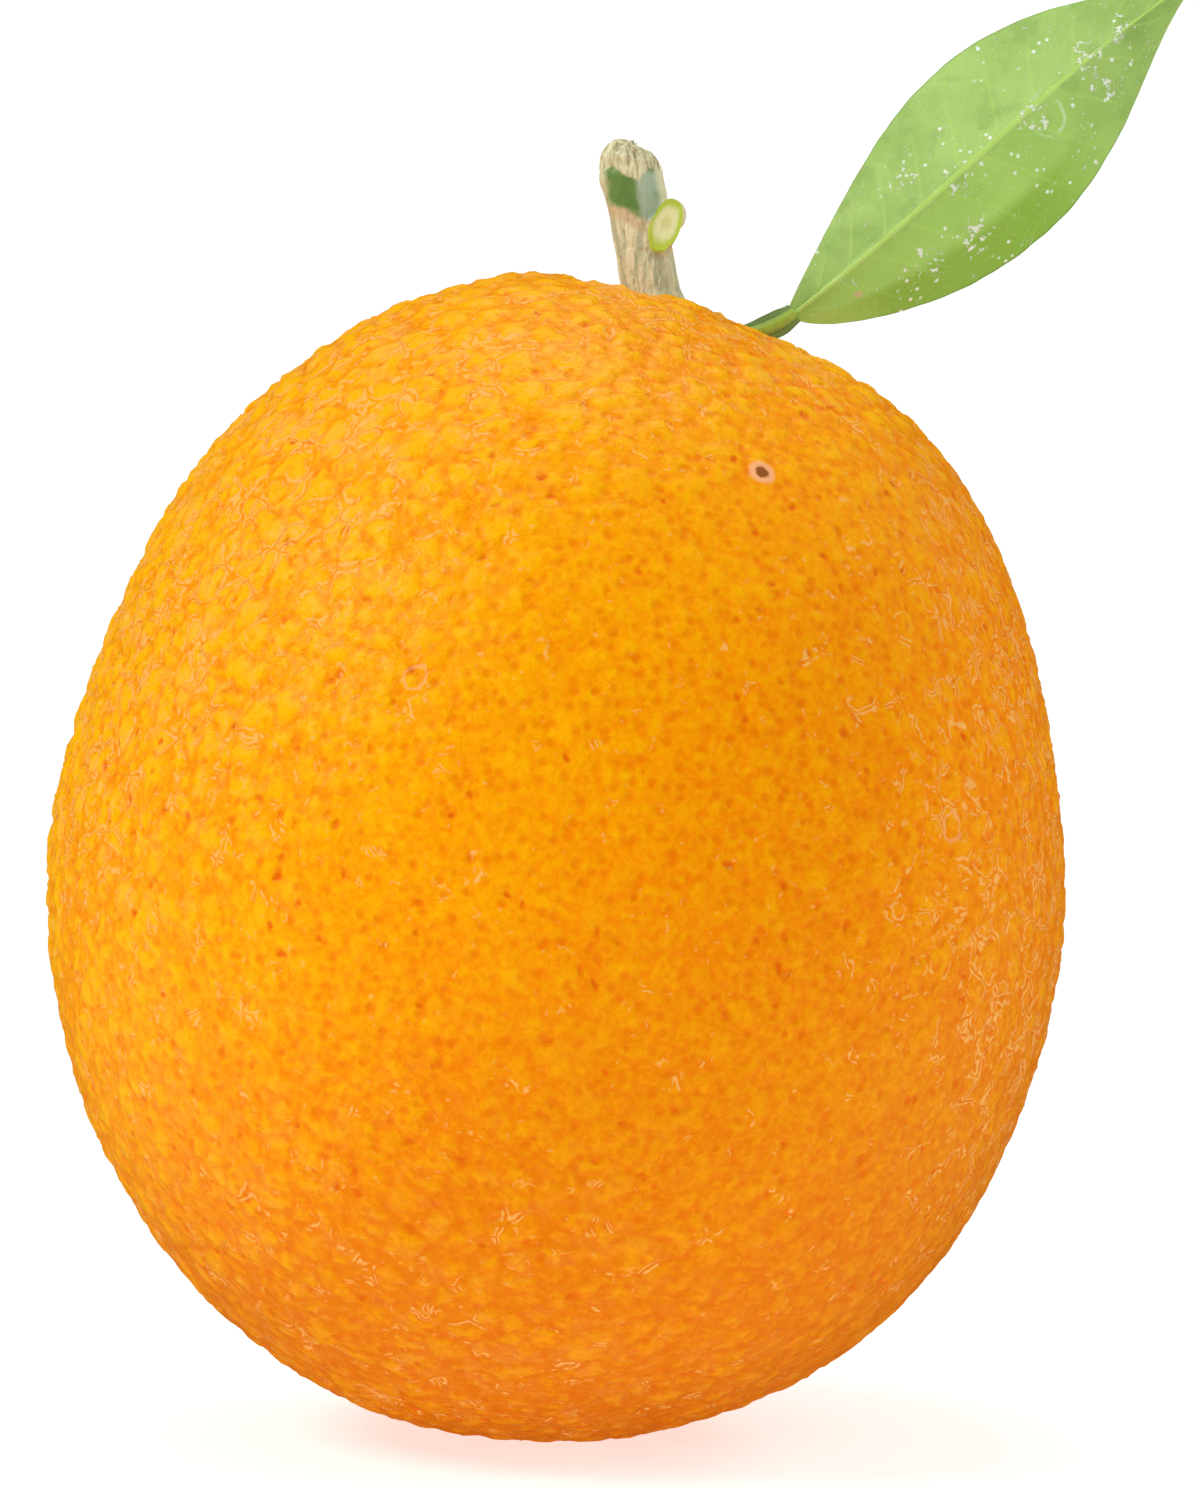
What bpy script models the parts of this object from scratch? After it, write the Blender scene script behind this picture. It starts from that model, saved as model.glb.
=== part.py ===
"""Whole orange as picked: fruit, calyx, woody stem with a cut side shoot, petiole and leaf blade.

Units are metres and +Z is up. The origin is the centre of the small flat spot at the blossom end
that the fruit rests on, +X points to the side the leaf grows on and +Y to the back.
"""
import math

import bmesh
import bpy
from mathutils import Matrix, Vector
from mathutils.geometry import interpolate_bezier

MM = 0.001
GAP = 0.0003                          # air left between neighbouring pieces
WELD = 0.000003                       # points closer than this are one point
SHARP_ANGLE = math.radians(50)        # edges that bend more than this stay sharp

# Fruit: an egg-round body, a little longer than wide, leaning slightly towards the leaf.
FRUIT_RADIUS = 40.0 * MM              # across the equator
FRUIT_HALF_LENGTH = 46.0 * MM         # blossom end to stem end, halved
FRUIT_LEAN = math.radians(3.4)        # long axis off the vertical, towards +X
FRUIT_CENTRE = Vector((0.25 * MM, 0.0, 44.8 * MM))
FRUIT_SEGMENTS = 48
FRUIT_RINGS = 32
RING_CROWDING = 0.5                   # 0 spreads the rings evenly, 1 gathers them at the stem end

# Soft swellings and flats of the skin. Each one is a broad ridge that runs from front to back:
# its turn from the top towards +X in degrees, its height, and its spread in degrees.
SWELLINGS = (
    (-10, 0.45 * MM, 14),             # shoulder beside the stem, away from the leaf
    (21, -0.85 * MM, 12),             # slope under the petiole
    (42, 0.75 * MM, 16),              # shoulder under the leaf
    (78, -0.75 * MM, 20),
    (140, 0.55 * MM, 18),
    (180, -0.80 * MM, 20),            # flattened blossom end
    (245, 0.45 * MM, 25),
    (298, -1.00 * MM, 18),
)
SWELLING_FADE = math.radians(42)      # how soon they die out towards the front and the back

# Dimple at the stem end, where the calyx sits.
DIMPLE_TILT = math.radians(10.0)      # off the vertical, towards +X
DIMPLE_DEPTH = 4.2 * MM
DIMPLE_WIDTH = 6.2 * MM
DIMPLE_FLATNESS = 3.0                 # power of the profile: 2 is a bowl, more has a flatter floor

# Calyx: the dry five-pointed star left from the flower.
CALYX_LOBES = 5
CALYX_RADIUS = 4.9 * MM               # to the points
CALYX_NOTCH = 0.34                    # part of the radius lost between two points
CALYX_THICKNESS = 1.3 * MM
CALYX_THINNING = 0.3                  # part of the thickness lost towards the points
CALYX_SEAT_GAP = 1.5 * GAP            # wider than GAP, because the dimple's floor is made of flats
CALYX_SEGMENTS = 40
CALYX_RINGS = 10

# Stem: centre line from the calyx to the torn top, each point with the stem's radius there.
STEM_FOOT_RADIUS = 2.9 * MM
STEM_FOOT_LIFT = CALYX_THICKNESS + 4.0 * GAP      # above the floor of the dimple
STEM_FOOT_HEIGHT = 1.0 * MM           # the flared foot stands square on the calyx this far
STEM_NECK_RADIUS = 2.5 * MM
STEM_ROUNDNESS = 4                    # bevel resolution of the round twig
STEM_LINE = (
    ((7.45, 0.0, 89.8), 2.32),
    ((7.00, 0.0, 92.2), 2.28),
    ((6.55, 0.0, 94.6), 2.30),
    ((6.35, 0.0, 97.4), 2.45),
    ((5.80, 0.0, 99.4), 2.50),
    ((5.70, 0.0, 100.7), 2.10),
    ((5.85, 0.0, 101.5), 1.40),
)
# Side shoot: it grew up and forwards, and was cut off nearly flush with the twig's front.
SHOOT_CUT_CENTRE = Vector((8.65, -2.25, 94.75)) * MM
SHOOT_CUT_NORMAL = Vector((0.15, -0.98, -0.12))
SHOOT_DIRECTION = Vector((0.375, -0.60, 0.706))
SHOOT_RADIUS = 1.35 * MM
SHOOT_LENGTH = 7.0 * MM               # half of it lies inside the twig, half is cut away
SHOOT_SEGMENTS = 16

# Petiole and blade are thin bent strips laid along a Bezier line: knot, handle, handle, knot.
PETIOLE_LINE = ((11.55, 1.0, 89.1), (13.45, 2.0, 87.3), (16.35, 3.0, 86.4), (18.6, 3.4, 88.45))
PETIOLE_WIDTH = 2.2 * MM
PETIOLE_FOOT_WIDTH = 1.5 * MM
PETIOLE_THICKNESS = 1.1 * MM
PETIOLE_GRID = (10, 4)                # cells along and across
BLADE_LINE = ((18.95, 3.5, 88.85), (29.45, 3.0, 96.6), (41.45, 4.5, 110.0), (52.45, 6.0, 117.2))
BLADE_UPPER = (7.9 * MM, 0.95, 0.90, 0.50)   # midrib to edge, then the outline's three shape numbers
BLADE_LOWER = (8.5 * MM, 0.88, 0.82, 0.55)   # (see blade_outline)
BLADE_END_WIDTH = 0.35 * MM           # half-width left at the two pointed ends
BLADE_THICKNESS = 0.5 * MM
BLADE_GRID = (22, 10)
BLADE_UPPER_FOLD = 0.44               # how far each half leans back, per unit of its width
BLADE_LOWER_FOLD = 0.30
BLADE_CREASE = 0.55                   # the lower half bends again past this part of its width
BLADE_CREASE_BEND = 0.9


def clear_scene():
    for item in list(bpy.data.objects):
        bpy.data.objects.remove(item, do_unlink=True)


def new_collection(name):
    collection = bpy.data.collections.new(name)
    bpy.context.scene.collection.children.link(collection)
    return collection


def new_material(name, color, roughness):
    material = bpy.data.materials.new(name)
    material.use_nodes = True
    shader = material.node_tree.nodes["Principled BSDF"]
    shader.inputs["Base Color"].default_value = (*color, 1.0)
    shader.inputs["Roughness"].default_value = roughness
    return material


def mesh_object(name, bm, collection, material=None):
    """Turn a bmesh into a smooth-shaded object of its own."""
    mesh = bpy.data.meshes.new(name)
    bm.to_mesh(mesh)
    bm.free()
    mesh.shade_smooth()
    mesh.set_sharp_from_angle(angle=SHARP_ANGLE)
    if material is not None:
        mesh.materials.append(material)
    item = bpy.data.objects.new(name, mesh)
    collection.objects.link(item)
    return item


def unit_vector(bearing, elevation):
    """Direction with a bearing round +Z from +X and an elevation, both in radians."""
    flat = math.cos(elevation)
    return Vector((flat * math.cos(bearing), flat * math.sin(bearing), math.sin(elevation)))


def cut_flat(bm, point, normal):
    """Slice off what lies past a plane and close the cut with one flat face."""
    everything = bm.verts[:] + bm.edges[:] + bm.faces[:]
    bmesh.ops.bisect_plane(bm, geom=everything, dist=WELD, plane_co=point, plane_no=normal,
                           clear_outer=True)
    rim = [edge for edge in bm.edges if edge.is_boundary]
    bmesh.ops.contextual_create(bm, geom=rim)
    bmesh.ops.recalc_face_normals(bm, faces=bm.faces[:])


LONG_AXIS = unit_vector(0.0, math.pi / 2 - FRUIT_LEAN)
DIMPLE_AXIS = unit_vector(0.0, math.pi / 2 - DIMPLE_TILT)


def skin_radius(direction):
    """Distance from the fruit's centre to its skin along a unit direction."""
    along = direction.dot(LONG_AXIS)
    across = 1.0 - along * along
    radius = 1.0 / math.sqrt(across / FRUIT_RADIUS ** 2 + along ** 2 / FRUIT_HALF_LENGTH ** 2)
    depth_angle = math.asin(max(-1.0, min(1.0, direction.y)))
    turn = math.atan2(direction.x, direction.z)
    for place, height, spread in SWELLINGS:
        away = math.remainder(turn - math.radians(place), 2.0 * math.pi)
        away *= math.cos(depth_angle) / math.radians(spread)
        radius += height * math.exp(-away ** 2 - (depth_angle / SWELLING_FADE) ** 2)
    if direction.dot(DIMPLE_AXIS) > 0.0:
        off_axis = FRUIT_HALF_LENGTH * math.sin(direction.angle(DIMPLE_AXIS))
        radius -= DIMPLE_DEPTH * math.exp(-(off_axis / DIMPLE_WIDTH) ** DIMPLE_FLATNESS)
    return radius


def skin_point(direction):
    return FRUIT_CENTRE + direction * skin_radius(direction)


def build_fruit(collection):
    """A sphere whose poles lie on the dimple's axis, drawn out to the skin and cut flat below."""
    bm = bmesh.new()
    bmesh.ops.create_uvsphere(bm, u_segments=FRUIT_SEGMENTS, v_segments=FRUIT_RINGS, radius=1.0)
    tilt = Matrix.Rotation(DIMPLE_TILT, 3, "Y")
    for vert in bm.verts:
        polar = vert.co.angle(Vector((0.0, 0.0, 1.0)))
        crowded = polar - RING_CROWDING * math.sin(polar)
        bearing = math.atan2(vert.co.y, vert.co.x)
        direction = tilt @ unit_vector(bearing, math.pi / 2 - crowded)
        vert.co = skin_point(direction.normalized())
    cut_flat(bm, Vector((0.0, 0.0, 0.0)), Vector((0.0, 0.0, -1.0)))
    mesh_object("fruit", bm, collection, new_material("orange_skin", (0.90, 0.30, 0.01), 0.40))


def build_calyx(collection):
    """A flattened ball with a five-pointed outline, its underside laid on the dimple's floor."""
    bm = bmesh.new()
    bmesh.ops.create_uvsphere(bm, u_segments=CALYX_SEGMENTS, v_segments=CALYX_RINGS, radius=1.0)
    tilt = Matrix.Rotation(DIMPLE_TILT, 3, "Y")
    for vert in bm.verts:
        bearing = math.atan2(vert.co.y, vert.co.x)
        reach = math.hypot(vert.co.x, vert.co.y)
        point = 0.5 + 0.5 * math.cos(CALYX_LOBES * bearing)
        outline = CALYX_RADIUS * (1.0 - CALYX_NOTCH * (1.0 - point))
        off_axis = outline * reach
        direction = tilt @ unit_vector(bearing, math.pi / 2 - off_axis / FRUIT_HALF_LENGTH)
        crown = 0.5 + 0.5 * vert.co.z
        lift = CALYX_SEAT_GAP + CALYX_THICKNESS * crown * (1.0 - CALYX_THINNING * reach)
        vert.co = skin_point(direction) + DIMPLE_AXIS * lift
    mesh_object("calyx", bm, collection, new_material("calyx_green", (0.30, 0.34, 0.16), 0.75))


def build_stem(collection, cutters):
    """A tapering round twig, joined to the short stub of a side shoot that was cut off."""
    foot = skin_point(DIMPLE_AXIS) + DIMPLE_AXIS * STEM_FOOT_LIFT
    neck = foot + DIMPLE_AXIS * STEM_FOOT_HEIGHT
    points = [(foot, STEM_FOOT_RADIUS), (neck, STEM_NECK_RADIUS)]
    points += [(Vector(place) * MM, radius * MM) for place, radius in STEM_LINE]
    curve = bpy.data.curves.new("stem_line", "CURVE")
    curve.dimensions = "3D"
    curve.bevel_depth = 1.0
    curve.bevel_resolution = STEM_ROUNDNESS
    curve.use_fill_caps = True
    spline = curve.splines.new("POLY")
    spline.points.add(len(points) - 1)
    for spline_point, (place, radius) in zip(spline.points, points):
        spline_point.co = (*place, 1.0)
        spline_point.radius = radius
    guide = bpy.data.objects.new("stem_line", curve)
    collection.objects.link(guide)
    bpy.context.view_layer.update()
    evaluated = guide.evaluated_get(bpy.context.evaluated_depsgraph_get())
    mesh = bpy.data.meshes.new_from_object(evaluated)
    bm = bmesh.new()
    bm.from_mesh(mesh)
    bmesh.ops.remove_doubles(bm, verts=bm.verts[:], dist=WELD)
    bmesh.ops.transform(bm, matrix=guide.matrix_world, verts=bm.verts[:])
    bpy.data.objects.remove(guide, do_unlink=True)
    stem = mesh_object("stem", bm, collection, new_material("twig_bark", (0.48, 0.46, 0.24), 0.80))

    shoot_bm = bmesh.new()
    turn = SHOOT_DIRECTION.to_track_quat("Z", "Y").to_matrix().to_4x4()
    place = Matrix.Translation(SHOOT_CUT_CENTRE) @ turn
    bmesh.ops.create_cone(shoot_bm, cap_ends=True, segments=SHOOT_SEGMENTS, radius1=SHOOT_RADIUS,
                          radius2=SHOOT_RADIUS, depth=SHOOT_LENGTH, matrix=place)
    cut_flat(shoot_bm, SHOOT_CUT_CENTRE, SHOOT_CUT_NORMAL)
    shoot = mesh_object("side_shoot_tool", shoot_bm, cutters)
    shoot.hide_render = True
    shoot.display_type = "WIRE"
    union = stem.modifiers.new("side_shoot", "BOOLEAN")
    union.operation = "UNION"
    union.object = shoot


def strip(line, grid, shape):
    """A flat grid laid along a Bezier line; shape(u, v) gives sideways and backward distances."""
    rows, columns = grid
    knots = [Vector(place) * MM for place in line]
    spine = interpolate_bezier(*knots, rows + 1)
    bm = bmesh.new()
    bmesh.ops.create_grid(bm, x_segments=rows, y_segments=columns, size=1.0)
    back = Vector((0.0, 1.0, 0.0))
    for vert in bm.verts:
        row = round((vert.co.x + 1.0) / 2.0 * rows)
        ahead = spine[min(row + 1, rows)]
        behind = spine[max(row - 1, 0)]
        along = (ahead - behind).normalized()
        side = along.cross(back).normalized()
        sideways, backward = shape(row / rows, vert.co.y)
        vert.co = spine[row] + side * sideways + back * backward
    return bm


def thicken(item, thickness):
    solidify = item.modifiers.new("thickness", "SOLIDIFY")
    solidify.thickness = thickness
    solidify.offset = 0.0


def petiole_shape(u, v):
    half_width = 0.5 * (PETIOLE_FOOT_WIDTH + (PETIOLE_WIDTH - PETIOLE_FOOT_WIDTH) * u)
    return v * half_width, 0.0


def blade_outline(u, half):
    """Distance from the midrib to one edge: a sine lens, its peak moved and its ends sharpened."""
    width, peak, base_power, tip_power = half
    lens = max(math.sin(math.pi * u ** peak), 0.0) ** (base_power + tip_power * u)
    return BLADE_END_WIDTH + (width - BLADE_END_WIDTH) * lens


def blade_shape(u, v):
    """Both halves lean back from the midrib, and the lower one bends once more near its edge."""
    upper = v > 0.0
    fold = BLADE_UPPER_FOLD if upper else BLADE_LOWER_FOLD
    reach = abs(v) * blade_outline(u, BLADE_UPPER if upper else BLADE_LOWER)
    backward = fold * reach
    if not upper:
        past = max(abs(v) - BLADE_CREASE, 0.0) * BLADE_LOWER[0]
        backward += BLADE_CREASE_BEND * past * math.sin(math.pi * u) ** 2
    sideways = reach / math.hypot(1.0, fold)
    return math.copysign(sideways, v), backward


def build_petiole(collection):
    bm = strip(PETIOLE_LINE, PETIOLE_GRID, petiole_shape)
    material = new_material("petiole_green", (0.20, 0.34, 0.08), 0.55)
    thicken(mesh_object("petiole", bm, collection, material), PETIOLE_THICKNESS)


def build_leaf_blade(collection):
    bm = strip(BLADE_LINE, BLADE_GRID, blade_shape)
    material = new_material("leaf_green", (0.36, 0.53, 0.14), 0.50)
    thicken(mesh_object("leaf_blade", bm, collection, material), BLADE_THICKNESS)


def build():
    clear_scene()
    orange = new_collection("orange")
    cutters = new_collection("cutters")
    build_fruit(orange)
    build_calyx(orange)
    build_stem(orange, cutters)
    build_petiole(orange)
    build_leaf_blade(orange)


build()
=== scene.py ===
# %% [markdown]
# # An orange with its stem and one leaf
#
# The solid model gives every piece of this orange its real size and place. This lesson gives the same
# pieces the form and the finish that a hand would find on them: pebbled peel, cracked bark, a fresh
# cut, a winged leaf stalk and a dusty leaf. The solids stay underneath as the frame, and each new
# mesh takes the place of one of them.
#
# The first cell loads the frame and keeps its box, so that the last cell can print it beside the new
# pieces' box.

# %% Load the solid model as the frame
import math

import bmesh
import bpy
from mathutils import Matrix, Vector, noise
from mathutils.geometry import interpolate_bezier


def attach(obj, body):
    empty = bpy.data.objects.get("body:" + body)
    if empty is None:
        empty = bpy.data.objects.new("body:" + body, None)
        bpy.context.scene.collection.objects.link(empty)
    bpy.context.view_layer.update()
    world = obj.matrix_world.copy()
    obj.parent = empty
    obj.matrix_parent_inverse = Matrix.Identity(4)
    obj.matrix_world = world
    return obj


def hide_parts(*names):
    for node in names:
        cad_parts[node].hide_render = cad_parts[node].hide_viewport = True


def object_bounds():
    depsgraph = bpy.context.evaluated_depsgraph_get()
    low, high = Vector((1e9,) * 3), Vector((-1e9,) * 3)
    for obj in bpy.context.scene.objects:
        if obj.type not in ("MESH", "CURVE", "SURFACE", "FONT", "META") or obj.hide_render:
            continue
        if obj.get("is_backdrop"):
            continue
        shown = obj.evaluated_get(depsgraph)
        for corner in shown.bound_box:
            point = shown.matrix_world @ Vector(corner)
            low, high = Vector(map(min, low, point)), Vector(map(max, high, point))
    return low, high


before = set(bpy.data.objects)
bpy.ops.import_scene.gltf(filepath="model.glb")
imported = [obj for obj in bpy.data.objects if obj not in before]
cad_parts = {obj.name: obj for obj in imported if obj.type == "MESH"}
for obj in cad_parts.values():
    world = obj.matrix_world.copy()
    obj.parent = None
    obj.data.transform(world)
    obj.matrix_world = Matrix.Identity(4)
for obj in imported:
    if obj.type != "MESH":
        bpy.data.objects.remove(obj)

cad_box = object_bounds()
MM = 0.001
UP = Vector((0.0, 0.0, 1.0))
BACK = Vector((0.0, 1.0, 0.0))
print("nodes:", ", ".join(sorted(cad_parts)))
print("box in mm:", [[round(value / MM, 1) for value in corner] for corner in cad_box])

# %% [markdown]
# ## A way to write shader maths
#
# A material here is mostly arithmetic: a distance, a threshold, a blend. Placing a Math node for each
# sign makes that hard to read, so one small class wraps a node's output socket and turns +, -, * and /
# into Math nodes. `Wire.node` makes any other node. Colours and vectors never pass through a Math
# node, which would turn them grey: they go through `mix` and `vector`.

# %% Wire: a socket that can be used in a formula
class Wire:
    """The output of a node, usable in Python expressions."""

    def __init__(self, tree, socket):
        self.tree = tree
        self.socket = socket

    @classmethod
    def node(cls, tree, kind, settings=None, inputs=None, output=0):
        """Add a node: its settings are set first, then its sockets are set or linked."""
        made = tree.nodes.new(kind)
        for name, value in (settings or {}).items():
            setattr(made, name, value)
        for name, value in (inputs or {}).items():
            if isinstance(value, Wire):
                tree.links.new(value.socket, made.inputs[name])
            else:
                made.inputs[name].default_value = value
        return cls(tree, made.outputs[output])

    def maths(self, operation, left, right=0.0):
        return Wire.node(self.tree, "ShaderNodeMath", {"operation": operation}, {0: left, 1: right})

    def __add__(self, other):
        return self.maths("ADD", self, other)

    def __radd__(self, other):
        return self.maths("ADD", other, self)

    def __sub__(self, other):
        return self.maths("SUBTRACT", self, other)

    def __rsub__(self, other):
        return self.maths("SUBTRACT", other, self)

    def __mul__(self, other):
        return self.maths("MULTIPLY", self, other)

    def __rmul__(self, other):
        return self.maths("MULTIPLY", other, self)

    def __truediv__(self, other):
        return self.maths("DIVIDE", self, other)

    def __pow__(self, other):
        return self.maths("POWER", self, other)

    def absolute(self):
        return self.maths("ABSOLUTE", self)

    def largest(self, other):
        return self.maths("MAXIMUM", self, other)

    def smooth(self, low, high):
        """0 below low, 1 above high and an S-curve between; low may be the larger of the two."""
        return Wire.node(self.tree, "ShaderNodeMapRange", {"interpolation_type": "SMOOTHSTEP"},
                         {"Value": self, "From Min": low, "From Max": high})

    def vector(self, operation, other=(0.0, 0.0, 0.0), output=0):
        return Wire.node(self.tree, "ShaderNodeVectorMath", {"operation": operation},
                         {0: self, 1: other}, output)

    def distance(self, point):
        return self.vector("DISTANCE", tuple(point), 1)

    def axis(self, name):
        return Wire.node(self.tree, "ShaderNodeSeparateXYZ", {}, {0: self}, name)

    def mix(self, start, end):
        """A colour between two colours, with this wire as the factor."""
        return Wire.node(self.tree, "ShaderNodeMix", {"data_type": "RGBA"},
                         {0: self, 6: start, 7: end}, 2)

    def noise(self, scale, detail=2.0, roughness=0.5, distortion=0.0):
        """Soft noise, about 0.5 on average, read at this wire's place."""
        return Wire.node(self.tree, "ShaderNodeTexNoise", {"noise_dimensions": "3D"},
                         {"Vector": self, "Scale": scale, "Detail": detail,
                          "Roughness": roughness, "Distortion": distortion})

    def warp(self, scale, amount):
        """The same place, pushed about by soft noise so that straight cell walls wander."""
        drift = Wire.node(self.tree, "ShaderNodeTexNoise", {"noise_dimensions": "3D"},
                          {"Vector": self, "Scale": scale, "Detail": 2.0}, "Color")
        return drift.vector("MULTIPLY", (amount, amount, amount)).vector("ADD", self)

    def cells(self, scale, output="Distance", randomness=1.0, feature="F1"):
        """Voronoi cells read at this wire's place."""
        return Wire.node(self.tree, "ShaderNodeTexVoronoi", {"feature": feature},
                         {"Vector": self, "Scale": scale, "Randomness": randomness}, output)


print("a formula on wires makes the nodes it needs")

# %% [markdown]
# ## Starting a material and finishing a piece
#
# Every material is a Principled shader. What is the same all over a surface is set on the shader's
# own sockets, and only what varies is linked. Every piece is made at its place in the model, with
# its object at the origin, so Object coordinates are simply metres in the model.

# %% Helpers for materials and pieces
def linear(red, green, blue):
    """A screen colour from 0 to 255 as the linear colour that the shader wants."""
    def one(value):
        value /= 255.0
        return value / 12.92 if value <= 0.04045 else ((value + 0.055) / 1.055) ** 2.4
    return one(red), one(green), one(blue), 1.0


def new_material(name, constants):
    """A Principled material: returns it, its shader node and the Object coordinates as a Wire."""
    material = bpy.data.materials.new(name)
    material.use_nodes = True
    tree = material.node_tree
    shader = tree.nodes["Principled BSDF"]
    for socket, value in constants.items():
        shader.inputs[socket].default_value = value
    place = Wire.node(tree, "ShaderNodeTexCoord", {}, {}, "Object")
    return material, shader, place


def link(wire, shader, socket):
    wire.tree.links.new(wire.socket, shader.inputs[socket])


def link_bump(height, shader):
    """Bend the shading by a height in metres."""
    bump = Wire.node(height.tree, "ShaderNodeBump", {},
                     {"Height": height, "Distance": 1.0, "Strength": 1.0}, "Normal")
    link(bump, shader, "Normal")


def new_piece(name, bm, material=None):
    """Turn a bmesh into a smooth-shaded object at the origin."""
    mesh = bpy.data.meshes.new(name)
    bm.to_mesh(mesh)
    bm.free()
    mesh.shade_smooth()
    if material is not None:
        mesh.materials.append(material)
    piece = bpy.data.objects.new(name, mesh)
    bpy.context.scene.collection.objects.link(piece)
    return piece


def apply_modifiers(piece):
    """Replace a piece's mesh with what its modifiers make of it."""
    bpy.context.view_layer.update()
    evaluated = piece.evaluated_get(bpy.context.evaluated_depsgraph_get())
    mesh = bpy.data.meshes.new_from_object(evaluated)
    piece.modifiers.clear()
    piece.data = mesh
    mesh.shade_smooth()


def finish_piece(piece, node):
    """The piece rides on the one body, hides its solid and prints its size."""
    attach(piece, "root")
    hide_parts(node)
    corners = [piece.matrix_world @ Vector(corner) for corner in piece.bound_box]
    size = [max(c[i] for c in corners) - min(c[i] for c in corners) for i in range(3)]
    print(piece.name, "is", [round(value / MM, 1) for value in size], "mm")


def smoothstep(low, high, value):
    """The same S-curve in Python that Wire.smooth makes in a shader."""
    t = max(0.0, min(1.0, (value - low) / (high - low)))
    return t * t * (3.0 - 2.0 * t)


def unit_vector(bearing, elevation):
    """Direction with a bearing round +Z from +X and an elevation, both in radians."""
    flat = math.cos(elevation)
    return Vector((flat * math.cos(bearing), flat * math.sin(bearing), math.sin(elevation)))


# %% [markdown]
# ## The form of the fruit
#
# An orange is a ball with a character: a little longer than wide, fuller at some shoulders than at
# others, dimpled where the stem stands and flattened where it rests. A sculptor would push and pull
# a sphere. Here each push is one line in a table, so the form can be changed by a word, and a
# function says how far the peel lies from the centre in any direction.

# %% The fruit's driving sizes
FRUIT_RADIUS = 40.0 * MM
FRUIT_HALF_LENGTH = 46.0 * MM
FRUIT_LEAN = math.radians(3.4)
FRUIT_CENTRE = Vector((0.25, 0.0, 44.8)) * MM
SWELLINGS = (                            # turn from the top towards +X, height, spread
    (-10, 0.45 * MM, 14),
    (21, -0.85 * MM, 12),
    (42, 0.75 * MM, 16),
    (78, -0.75 * MM, 20),
    (140, 0.55 * MM, 18),
    (180, -0.80 * MM, 20),
    (245, 0.45 * MM, 25),
    (298, -1.00 * MM, 18),
)
SWELLING_FADE = math.radians(42)
DIMPLE_TILT = math.radians(10.0)
DIMPLE_DEPTH = 4.2 * MM
DIMPLE_WIDTH = 6.2 * MM
DIMPLE_FLATNESS = 3.0
LONG_AXIS = unit_vector(0.0, math.pi / 2 - FRUIT_LEAN)
DIMPLE_AXIS = unit_vector(0.0, math.pi / 2 - DIMPLE_TILT)


def peel_radius(direction):
    """Distance from the fruit's centre to the mean level of its peel along a unit direction."""
    along = direction.dot(LONG_AXIS)
    across = 1.0 - along * along
    radius = 1.0 / math.sqrt(across / FRUIT_RADIUS ** 2 + along ** 2 / FRUIT_HALF_LENGTH ** 2)
    depth_angle = math.asin(max(-1.0, min(1.0, direction.y)))
    turn = math.atan2(direction.x, direction.z)
    for place, height, spread in SWELLINGS:
        away = math.remainder(turn - math.radians(place), 2.0 * math.pi)
        away *= math.cos(depth_angle) / math.radians(spread)
        radius += height * math.exp(-away ** 2 - (depth_angle / SWELLING_FADE) ** 2)
    if direction.dot(DIMPLE_AXIS) > 0.0:
        off_axis = FRUIT_HALF_LENGTH * math.sin(direction.angle(DIMPLE_AXIS))
        radius -= DIMPLE_DEPTH * math.exp(-(off_axis / DIMPLE_WIDTH) ** DIMPLE_FLATNESS)
    return radius


print("stem end is", round(peel_radius(DIMPLE_AXIS) / MM, 1), "mm from the centre")

# %% [markdown]
# ## A ball of even squares, drawn out to the peel
#
# A UV sphere gathers its faces at the poles, just where the dimple needs calm ones. A cube whose
# faces are cut into a fine grid and blown up to a ball has squares of nearly one size everywhere.
# The tangent evens them out: without it the squares near a cube's corner would be half the size.

# %% Cube, grid and ball
PEEL_CUTS = 124                          # cuts along each edge of the cube: 0.5 mm squares
PEEL_INSET = 0.08 * MM                   # keeps the pebbles' tops inside the solid's box
FURROW_DEPTH = 0.90 * MM                 # soft folds that run out of the dimple
FURROW_PACE = 1.75                       # how many folds fit round it
FURROW_START = (3.0 * MM, 7.0 * MM)      # distance from the stem over which they begin ...
FURROW_END = (9.0 * MM, 19.0 * MM)       # ... and fade out


def furrow(direction):
    """Depth of the folds round the dimple, in metres: deepest on its rim."""
    tilt = direction.angle(DIMPLE_AXIS)
    off_axis = FRUIT_HALF_LENGTH * tilt
    around = (direction - DIMPLE_AXIS * direction.dot(DIMPLE_AXIS)).normalized()
    fold = noise.noise(around * FURROW_PACE + Vector((3.7, 1.1, 5.2)))
    rim = smoothstep(*FURROW_START, off_axis) * (1.0 - smoothstep(*FURROW_END, off_axis))
    return FURROW_DEPTH * fold * rim


bm = bmesh.new()
bmesh.ops.create_cube(bm, size=2.0)
bmesh.ops.subdivide_edges(bm, edges=bm.edges[:], cuts=PEEL_CUTS, use_grid_fill=True)
for vert in bm.verts:
    even = Vector(math.tan(value * math.pi / 4.0) for value in vert.co)
    direction = even.normalized()
    level = peel_radius(direction) - PEEL_INSET + furrow(direction)
    vert.co = FRUIT_CENTRE + direction * level
bmesh.ops.recalc_face_normals(bm, faces=bm.faces[:])
print("peel faces:", len(bm.faces))
fruit = new_piece("fruit_peel", bm)

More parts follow.
